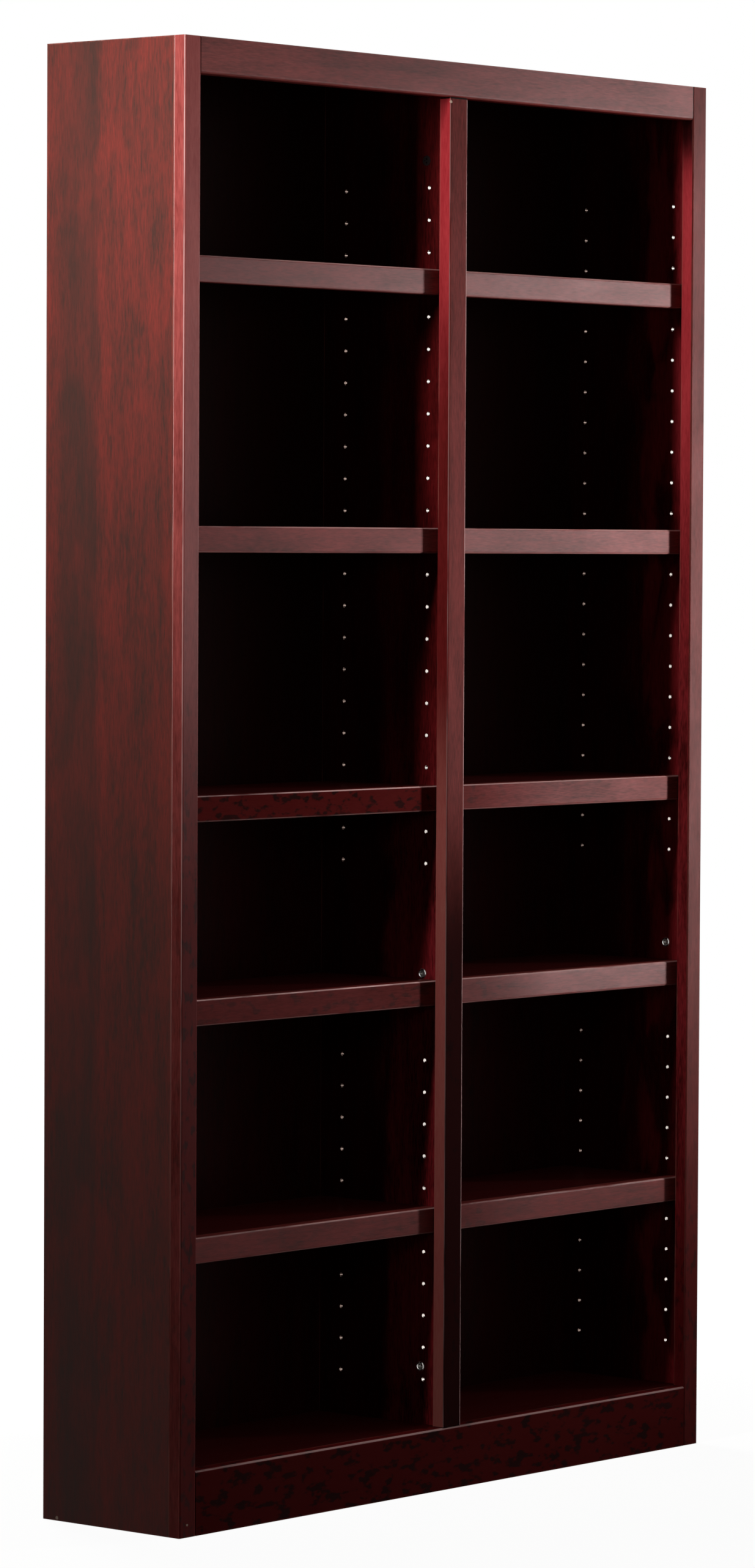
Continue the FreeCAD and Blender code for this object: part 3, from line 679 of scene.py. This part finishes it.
class BOOKCASE_OT_panels(bpy.types.Operator):
    """Stains the sides, the divider and the top and bottom panels"""
    bl_idname = "bookcase.panels"
    bl_label = "Stain panels"

    def execute(self, context):
        look = context.scene.bookcase_finish
        for seed, (node, grain) in enumerate(PANELS.items(), PANEL_SEED):
            stain = Wood(node, grain, look.veneer_light, look.veneer_dark, seed)
            within = stain.between(X_AXIS, CASE_LEFT + ARRIS, CASE_RIGHT - ARRIS)
            if node.endswith("side_panel"):
                stain.leaf(Y_AXIS, *LEAF_BAND)
            # painted shade: the bays' darker stain, on every face but the case's outer ends
            stain.inside(within)
            # painted shade: the bottom panel gets the boards' nearly black stain
            if node == "bottom_panel":
                stain.cover(within, look.board_light, look.inner_dark)
            # painted light: a ragged crimson zone near the front of the right panel's inner face
            if node == "right_side_panel":
                clouds = stain.blotch.rise(*CRIMSON_CLOUDS) * (1 - CRIMSON_LEAST) + CRIMSON_LEAST
                near = within * stain.front_zone(RIGHT_PANEL_FRONT)
                stain.cover(near * clouds, look.crimson, look.inner_light)
            # painted shade: nearly black deep in the bays
            if node in ("centre_divider", "right_side_panel"):
                deep = within * (1 - stain.front_zone(DEEP_START))
                stain.cover(deep * DEEP_AMOUNT, look.black)
            # painted light: crimson near the divider's front, stronger towards the bottom
            if node == "centre_divider":
                lower = stain.fade(Z_AXIS, *DIVIDER_LOWER)
                stain.cover(stain.front_zone(DIVIDER_FRONT) * lower, look.crimson, look.inner_dark)
            if node in UPRIGHTS:
                stain.plies(X_AXIS, stain.beyond(Y_AXIS, stain.high.y - SKIN))
            if node == "left_side_panel":
                stain.chip(SIDE_CHIP, SIDE_CHIP_RADIUS)
            stain.matt(stain.beyond(Z_AXIS, CASE_TOP - ARRIS))
            dress(node, stain.close(TOP_SHEEN if node == "top_panel" else 1.0))
        return {"FINISHED"}


# fades: where a stain, painted light or painted shade starts along its axis, where it is full, and how strong
# it is there
LEFT_STILE_PAINTED_LIGHT = (0.80, 2.00, 0.95)
LEFT_STILE_SHADE = (1.50, 0.80, 0.85)
LEFT_STILE_HIGHLIGHT_FADE = (0.10, 1.50)
# painted light on the right stile's inner face, fading out at the top
RIGHT_STILE_VIVID, RIGHT_STILE_VIVID_END = (1.20, 1.75), (2.10, 1.92)
# painted shadow at the top of the right stile's inner face
RIGHT_STILE_SHADOW_TOP = (1.99, 2.06, 0.85)
RIGHT_STILE_SHADE = (0.60, 0.25, 0.75)
MULLION_SHADE, MULLION_BLACKEST = (1.10, 0.80, 0.97), 0.9
# painted light high on the mullion's sides
MULLION_VIVID = (1.55, 1.98, 0.85)
# painted sheen low on the mullion's left face
MULLION_LEFT_SHEEN = (1.25, 0.95, 0.75)
TOP_RAIL_ROSY = (-0.15, -0.50, 0.4)

# how strong a stain, painted light or painted shade is all over its face
RIGHT_STILE_DARK, RIGHT_STILE_CRIMSON = 0.30, 0.85
MULLION_DARK, MULLION_SIDES = 0.15, 0.8
BOTTOM_RAIL_SHADE = 0.95

# painted highlight lines: how far they reach round an edge, and how strong they are
STILE_CORNER, STILE_BACK_LINE = (0.0020, 0.95), (0.0014, 0.9)
MULLION_RIGHT_CORNER, MULLION_LEFT_CORNER = (0.0034, 0.6), (0.0020, 0.4)
BOTTOM_RAIL_EDGE = (0.0034, 0.6)

STILE_OUTER_DEPTH = 0.0009
RAIL_FRONT_DEPTH = 0.006
MULLION_TOP_JOINT, MULLION_BOTTOM_JOINT, RAIL_JOINT = 0.0024, 0.0010, 0.0009
STILE_CHIP, STILE_CHIP_RADIUS = (-0.5930, FRAME_FACE, 0.0179), 0.0020
MULLION_CHIP, MULLION_CHIP_RADIUS = (-0.0190, FRAME_FACE, 2.0745), 0.0026
FRAME_SHEEN = {"left_stile": 0.8, "right_stile": 0.28, "centre_mullion": 0.1, "top_rail": 0.8,
               "bottom_rail": 0.25}


def stain_left_stile(stain, look):
    """Painted light above and painted shade below, with a lighter outer face and painted highlight lines at
    its corner and back.
    """
    # the painted highlight lines fade towards the bottom
    bright = stain.fade(Z_AXIS, *LEFT_STILE_HIGHLIGHT_FADE)
    # painted light: the upper stile lighter, in the outer face's colour
    stain.cover(stain.fade(Z_AXIS, *LEFT_STILE_PAINTED_LIGHT), look.outer, look.solid_light)
    # painted shade: the bays' darker stain on the stile's inner face
    stain.inside(stain.beyond(X_AXIS, BAYS_LEFT - SKIN))
    # painted shade, darker towards the bottom
    stain.pool(stain.fade(Z_AXIS, *LEFT_STILE_SHADE))
    outer = stain.between(X_AXIS, CASE_LEFT, CASE_LEFT + STILE_OUTER_DEPTH)
    stain.cover(outer, look.outer, look.solid_dark)
    reach, amount = STILE_CORNER
    stain.glint((X_AXIS, CASE_LEFT), (Y_AXIS, FRAME_FACE), reach, bright * amount)
    width, amount = STILE_BACK_LINE
    stain.seam(Y_AXIS, FRAME_BACK, width, look.glint, bright * amount)
    stain.chip(STILE_CHIP, STILE_CHIP_RADIUS)


def stain_right_stile(stain, look):
    """Painted light on the face that looks into the bay, vivid in its upper part, with painted shadow at that
    face's top and painted shade towards the bottom.
    """
    facing = stain.before(X_AXIS, BAYS_RIGHT + SKIN)
    vivid = stain.fade(Z_AXIS, *RIGHT_STILE_VIVID) * stain.fade(Z_AXIS, *RIGHT_STILE_VIVID_END)
    stain.cover(RIGHT_STILE_DARK, look.solid_dark)
    # painted light on the face that looks into the bay
    stain.cover(facing * RIGHT_STILE_CRIMSON, look.crimson, look.inner_dark)
    stain.cover(facing * vivid, look.vivid, look.crimson)
    # painted shadow: black at the top of that face
    stain.cover(facing * stain.fade(Z_AXIS, *RIGHT_STILE_SHADOW_TOP), look.black)
    # painted shade, darker towards the bottom
    stain.pool(stain.fade(Z_AXIS, *RIGHT_STILE_SHADE))


def stain_mullion(stain, look):
    """Painted shade, nearly black, below; its sides have painted light at the top and, on the left, a pale
    painted sheen below; painted highlight lines on its front corners.
    """
    sides = stain.beyond(Y_AXIS, FRAME_FACE + ARRIS)
    left = stain.before(X_AXIS, MULLION_LEFT + SKIN)
    stain.cover(MULLION_DARK, look.solid_dark)
    # painted shade, nearly black towards the bottom
    stain.pool(stain.fade(Z_AXIS, *MULLION_SHADE), MULLION_BLACKEST)
    # painted shade: the bays' darker stain on the sides
    stain.cover(sides * MULLION_SIDES, look.inner_light, look.shade_red)
    # painted light high on the sides
    stain.cover(sides * stain.fade(Z_AXIS, *MULLION_VIVID), look.vivid, look.crimson)
    # painted sheen: paler low on the left face
    stain.cover(left * stain.fade(Z_AXIS, *MULLION_LEFT_SHEEN), look.wear_and_sheen, look.outer)
    # painted highlight lines on the front corners
    stain.glint((X_AXIS, MULLION_RIGHT), (Y_AXIS, FRAME_FACE), *MULLION_RIGHT_CORNER)
    stain.glint((X_AXIS, MULLION_LEFT), (Y_AXIS, FRAME_FACE), *MULLION_LEFT_CORNER)
    # dark lines at the joints with the rails: joint stain, and at the top also painted shade below the rail's
    # eased edge
    stain.seam(Z_AXIS, BAYS_TOP, MULLION_TOP_JOINT)
    stain.seam(Z_AXIS, BAYS_BOTTOM, MULLION_BOTTOM_JOINT)
    stain.chip(MULLION_CHIP, MULLION_CHIP_RADIUS)


def stain_rail(stain):
    """The bays' darker stain, as painted shade, behind the front, with a joint line at each stile."""
    stain.inside(stain.beyond(Y_AXIS, FRAME_FACE + RAIL_FRONT_DEPTH))
    for stile in (BAYS_LEFT, BAYS_RIGHT):
        stain.seam(X_AXIS, stile, RAIL_JOINT)


def stain_top_rail(stain, look):
    """Rosy towards its left end."""
    stain_rail(stain)
    stain.cover(stain.fade(X_AXIS, *TOP_RAIL_ROSY), look.outer, look.solid_dark)


def stain_bottom_rail(stain, look):
    """Painted shade all over, with a painted highlight line along its upper edge."""
    stain_rail(stain)
    # painted shade over nearly all of the rail
    stain.pool(BOTTOM_RAIL_SHADE)
    stain.glint((Y_AXIS, FRAME_FACE), (Z_AXIS, BAYS_BOTTOM), *BOTTOM_RAIL_EDGE)


class BOOKCASE_OT_face_frame(bpy.types.Operator):
    """Stains the stiles, the mullion and the rails"""
    bl_idname = "bookcase.face_frame"
    bl_label = "Stain face frame"

    def execute(self, context):
        look = context.scene.bookcase_finish
        layers = {"left_stile": stain_left_stile, "right_stile": stain_right_stile,
                  "centre_mullion": stain_mullion, "top_rail": stain_top_rail,
                  "bottom_rail": stain_bottom_rail}
        for seed, (node, grain) in enumerate(FACE_FRAME.items(), FRAME_SEED):
            stain = Wood(node, grain, look.solid_light, look.solid_dark, seed)
            layers[node](stain, look)
            dress(node, stain.close(FRAME_SHEEN[node]))
        return {"FINISHED"}


# nosings that differ from the rest, by bay and shelf, counted from the top
# how much painted shade some nosings get
NOSING_SHADE = {("left", 3): 0.9, ("left", 4): 0.6, ("left", 5): 0.3}
# strength of the painted highlight on the upper edge of some nosings
NOSING_UPPER_GLINT = {("left", 3): 0.8, ("left", 4): 1.0}
NOSING_SHEEN = {("left", 2): 0.4, ("left", 3): 0.1, ("left", 4): 0.3, ("left", 5): 0.8,
                ("right", 1): 0.8, ("right", 2): 0.5, ("right", 3): 0.3}
# nosings whose left end gets painted shade
NOSING_SHADED_END = (("right", 3), ("right", 4), ("right", 5))
DARK_END_LENGTH, DARK_END_AMOUNT = 0.30, 0.6
# reach and strength of the painted highlight lines on the nosings' edges
NOSING_LINE, UPPER_LINE_AMOUNT, LOWER_LINE_AMOUNT = 0.0023, 0.55, 0.25


def stain_nosing(node, spot, seed, look):
    """A nosing with painted highlight lines on its edges, painted shade on some, and painted shade at the
    left end of others.
    """
    stain = Wood(node, X_AXIS, look.solid_light, look.solid_dark, seed)
    low, high = stain.low, stain.high
    if spot in NOSING_SHADE:
        stain.pool(NOSING_SHADE[spot])
    if spot in NOSING_SHADED_END:
        stain.pool(stain.fade(X_AXIS, low.x + DARK_END_LENGTH, low.x, DARK_END_AMOUNT))
    upper = NOSING_UPPER_GLINT.get(spot, UPPER_LINE_AMOUNT)
    stain.glint((Y_AXIS, low.y), (Z_AXIS, high.z), NOSING_LINE, upper)
    stain.glint((Y_AXIS, low.y), (Z_AXIS, low.z), NOSING_LINE, LOWER_LINE_AMOUNT)
    dress(node, stain.close(NOSING_SHEEN.get(spot, 1.0)))


class BOOKCASE_OT_shelves(bpy.types.Operator):
    """Stains the shelf boards and their nosings"""
    bl_idname = "bookcase.shelves"
    bl_label = "Stain shelves"

    def execute(self, context):
        look = context.scene.bookcase_finish
        for bay, side in enumerate(SIDES):
            for shelf in SHELVES:
                seed = SHELF_SEED + bay * BAY_SEEDS + shelf
                board = f"shelf_board_{side}_{shelf}"
                # shelf boards: a nearly black stain that paints the shade inside the bays
                dress(board, Wood(board, X_AXIS, look.board_light, look.inner_dark, seed).close())
                stain_nosing(f"shelf_nosing_{side}_{shelf}", (side, shelf), seed + NOSING_SEEDS, look)
        return {"FINISHED"}


# painted light: where the redder patch low on the back sheets starts, where it is full, and how strong it is
BACK_LOWER_LIGHT = (1.30, 0.85, 0.35)
BACK_SHEEN = 0.5
BRAD_ROUGHNESS = 0.42


class BOOKCASE_OT_backs(bpy.types.Operator):
    """Stains the back sheets and drives their brads"""
    bl_idname = "bookcase.backs"
    bl_label = "Finish backs"

    def execute(self, context):
        look, sizes = context.scene.bookcase_finish, context.scene.bookcase_fittings
        for seed, node in enumerate(BACKS, BACK_SEED):
            # back sheets: a very dark stain that paints the shade inside the bays
            stain = Wood(node, Z_AXIS, look.sheet_light, look.sheet_dark, seed)
            # painted light: a redder patch low on the back sheets
            stain.cover(stain.fade(Z_AXIS, *BACK_LOWER_LIGHT), look.inner_light, look.sheet_dark)
            stain.cover(stain.beyond(Y_AXIS, stain.high.y - SKIN), look.rear_light, look.rear_dark)
            stain.matt(stain.beyond(Z_AXIS, stain.high.z - ARRIS))
            dress(node, stain.close(BACK_SHEEN))
        steel = metal("brad_steel", sizes.brad_tint, BRAD_ROUGHNESS)
        brad_tree(steel).grow("back_brads", brad_lines(sizes), "pin_steel",
                              sizes.brad_radius, sizes.brad_rise, sizes.brad_spacing)
        return {"FINISHED"}


PIN_ROUGHNESS, CAM_ROUGHNESS, RIM_ROUGHNESS = 0.32, 0.40, 0.08
FRONT_LINER_ROUGHNESS, BACK_LINER_ROUGHNESS = 0.10, 0.18


class BOOKCASE_OT_hardware(bpy.types.Operator):
    """Plates the pins and cam fittings and lines the free shelf holes"""
    bl_idname = "bookcase.hardware"
    bl_label = "Plate hardware"

    def execute(self, context):
        sizes = context.scene.bookcase_fittings
        nickel = metal("pin_nickel", sizes.pin_tint, PIN_ROUGHNESS)
        # the cam plating gets painted shade on the upper cam
        zinc = metal("cam_zinc", sizes.cam_tint, CAM_ROUGHNESS, sizes.cam_shade_height)
        bright = metal("cam_rim_zinc", sizes.rim_tint, RIM_ROUGHNESS)
        plates = {"front": metal("front_liner_plate", sizes.front_liner_tint, FRONT_LINER_ROUGHNESS),
                  "back": metal("back_liner_plate", sizes.back_liner_tint, BACK_LINER_ROUGHNESS)}
        for side in SIDES:
            dress(f"shelf_pins_{side}_bay", nickel)
        for node in ("cam_discs", "cam_bolts"):
            dress(node, zinc)
        rim_tree(bright).grow("cam_rims", cam_faces(sizes), "cam_zinc", sizes.cam_radius, sizes.cam_rim)
        for column, plate in plates.items():
            liner_tree(plate).grow(f"{column}_hole_liners", free_holes(sizes, column), "pin_steel",
                                   sizes.liner_radius, sizes.liner_wall, sizes.liner_depth)
        return {"FINISHED"}


WHITE = (1, 1, 1)
FLOOR_REACH = 60
FLOOR_GREY = (0.10, 0.10, 0.10)
# the paler floor near the case, and the colour of the painted shadow beneath it
FLOOR_NEAR, FLOOR_SHADOW = (0.95, 0.95, 0.95), (0.06, 0.055, 0.05)
FLOOR_WHITE_RANGE = (0.5, 2.2)
# softness of the painted shadow's edge round the case's footprint
SHADOW_BLUR = 0.10
CAMERA_REACH = 200

# width and height of each lamp, and the spread of its light in degrees
KEY_LAMP = (0.22, 1.7, 50)
SIDE_LAMP = (0.10, 0.5, 128)
FILL_LAMP = (0.8, 0.8, 180)
REAR_LAMP = (1.2, 1.2, 180)
KEY_AIM_ACROSS = 0.45
SIDE_AIM_FORWARD, SIDE_AIM_HEIGHT = 0.05, 0.92


def lamp(name, spot, aim, power, width, height, spread):
    """An area lamp that is turned towards a point."""
    light = bpy.data.lights.new(name, "AREA")
    light.shape = "RECTANGLE"
    light.size, light.size_y = width, height
    light.energy = power
    light.spread = math.radians(spread)
    item = bpy.data.objects.new(name, light)
    bpy.context.scene.collection.objects.link(item)
    item.location = spot
    item.rotation_mode = "QUATERNION"
    item.rotation_quaternion = (Vector(aim) - Vector(spot)).to_track_quat("-Z", "Y")
    return item


def seen(nodes):
    """1 for rays that show the backdrop itself or its reflection, 0 for those that light the case."""
    camera, glossy, through = nodes.node(
        "ShaderNodeLightPath", output=("Is Camera Ray", "Is Glossy Ray", "Is Transmission Ray"))
    return camera.most(glossy).most(through)


def backdrop(ambient):
    """A white world that lights the case only weakly."""
    world = bpy.data.worlds.new("studio world")
    bpy.context.scene.world = world
    nodes = Shader(world)
    dim, white = (
        nodes.node("ShaderNodeBackground", {}, {"Color": (*WHITE, 1), "Strength": strength})
        for strength in (ambient, 1.0))
    both = nodes.node("ShaderNodeMixShader", {}, {0: seen(nodes), 1: dim, 2: white})
    nodes.node("ShaderNodeOutputWorld", {}, {"Surface": both})


def floor_finish():
    """Looks white, has a painted shadow beneath the case, and keeps the case's soft shadow."""
    material, nodes = finish("pale_floor")
    point = nodes.node("ShaderNodeTexCoord", output="Object")
    across, along = nodes.node("ShaderNodeSeparateXYZ", {}, {0: point}, output=("X", "Y"))
    distance = nodes.node("ShaderNodeVectorMath", {"operation": "LENGTH"}, {0: point}, output="Value")
    sideways = across.most(0 - across) - CAD_BOX[HIGH].x
    lengthways = along.most(0 - along) - CAD_BOX[HIGH].y
    # painted shadow: dark within the case's footprint
    shadow_under = sideways.most(lengthways).rise(0.0, -SHADOW_BLUR)
    pale = nodes.mix(distance.rise(*FLOOR_WHITE_RANGE), FLOOR_NEAR, WHITE)
    paint = nodes.mix(shadow_under, pale, FLOOR_SHADOW)
    grey = nodes.node("ShaderNodeBsdfDiffuse", {}, {"Color": (*FLOOR_GREY, 1)})
    glow = nodes.node("ShaderNodeEmission", {}, {"Color": paint, "Strength": 1.0})
    lit = nodes.node("ShaderNodeAddShader", {}, {0: grey, 1: glow})
    shown = nodes.node("ShaderNodeMixShader", {}, {0: seen(nodes), 1: grey, 2: lit})
    nodes.node("ShaderNodeOutputMaterial", {}, {"Surface": shown})
    return material


def pale_floor():
    """A wide, flat floor."""
    mesh = bpy.data.meshes.new("floor")
    corners = [(across * FLOOR_REACH, along * FLOOR_REACH, 0)
               for across, along in ((-1, -1), (1, -1), (1, 1), (-1, 1))]
    mesh.from_pydata(corners, [], [range(len(corners))])
    mesh.materials.append(floor_finish())
    floor = bpy.data.objects.new("floor", mesh)
    bpy.context.scene.collection.objects.link(floor)


def lamps(studio):
    """A strip at the front right and one at the left, a weak fill, and a lamp for the back."""
    low, high = CAD_BOX
    middle = (low + high) / 2
    key_aim = (KEY_AIM_ACROSS, low.y, studio.key_place[Z_AXIS])
    side_aim = (low.x, middle.y - SIDE_AIM_FORWARD, high.z * SIDE_AIM_HEIGHT)
    lamp("key_strip", studio.key_place, key_aim, studio.key_power, *KEY_LAMP)
    lamp("side_strip", studio.side_place, side_aim, studio.side_power, *SIDE_LAMP)
    lamp("camera_fill", studio.fill_place, middle, studio.fill_power, *FILL_LAMP)
    rear = lamp("rear_lamp", studio.rear_place, middle, studio.rear_power, *REAR_LAMP)
    rear.visible_glossy = False


class BOOKCASE_OT_stage(bpy.types.Operator):
    """Sets up the floor, the backdrop, the lamps and the camera"""
    bl_idname = "bookcase.stage"
    bl_label = "Set up studio"

    def execute(self, context):
        studio = context.scene.bookcase_studio
        backdrop(studio.ambient)
        pale_floor()
        lamps(studio)
        camera = bpy.data.cameras.new("camera")
        camera.lens = studio.camera_lens
        camera.clip_end = CAMERA_REACH
        item = bpy.data.objects.new("camera", camera)
        context.scene.collection.objects.link(item)
        item.location = studio.camera_place
        item.rotation_euler = studio.camera_turn
        context.scene.camera = item
        context.scene.view_settings.view_transform = "Standard"
        return {"FINISHED"}


class BOOKCASE_PT_sidebar(bpy.types.Panel):
    """Lists the steps that dress the bookcase, and their sizes and colours"""
    bl_idname = "BOOKCASE_PT_sidebar"
    bl_label = "Bookcase"
    bl_space_type = "VIEW_3D"
    bl_region_type = "UI"
    bl_category = "Bookcase"

    def draw(self, context):
        for step in STEPS:
            self.layout.operator(step.bl_idname)
        for name, kind in GROUPS.items():
            box = self.layout.box()
            for setting in kind.__annotations__:
                box.prop(getattr(context.scene, name), setting)


GROUPS = {"bookcase_finish": WoodFinish, "bookcase_fittings": Fittings, "bookcase_studio": Studio}
STEPS = (BOOKCASE_OT_panels, BOOKCASE_OT_face_frame, BOOKCASE_OT_shelves, BOOKCASE_OT_backs,
         BOOKCASE_OT_hardware, BOOKCASE_OT_stage)


def register():
    for kind in (*GROUPS.values(), *STEPS, BOOKCASE_PT_sidebar):
        bpy.utils.register_class(kind)
    for name, kind in GROUPS.items():
        setattr(bpy.types.Scene, name, bpy.props.PointerProperty(type=kind))


def unregister():
    for name in GROUPS:
        delattr(bpy.types.Scene, name)
    for kind in (BOOKCASE_PT_sidebar, *reversed(STEPS), *reversed(GROUPS.values())):
        bpy.utils.unregister_class(kind)


def main():
    """Runs every step in order."""
    register()
    for step in STEPS:
        group, name = step.bl_idname.split(".")
        getattr(getattr(bpy.ops, group), name)()


if __name__ == "__main__":
    main()
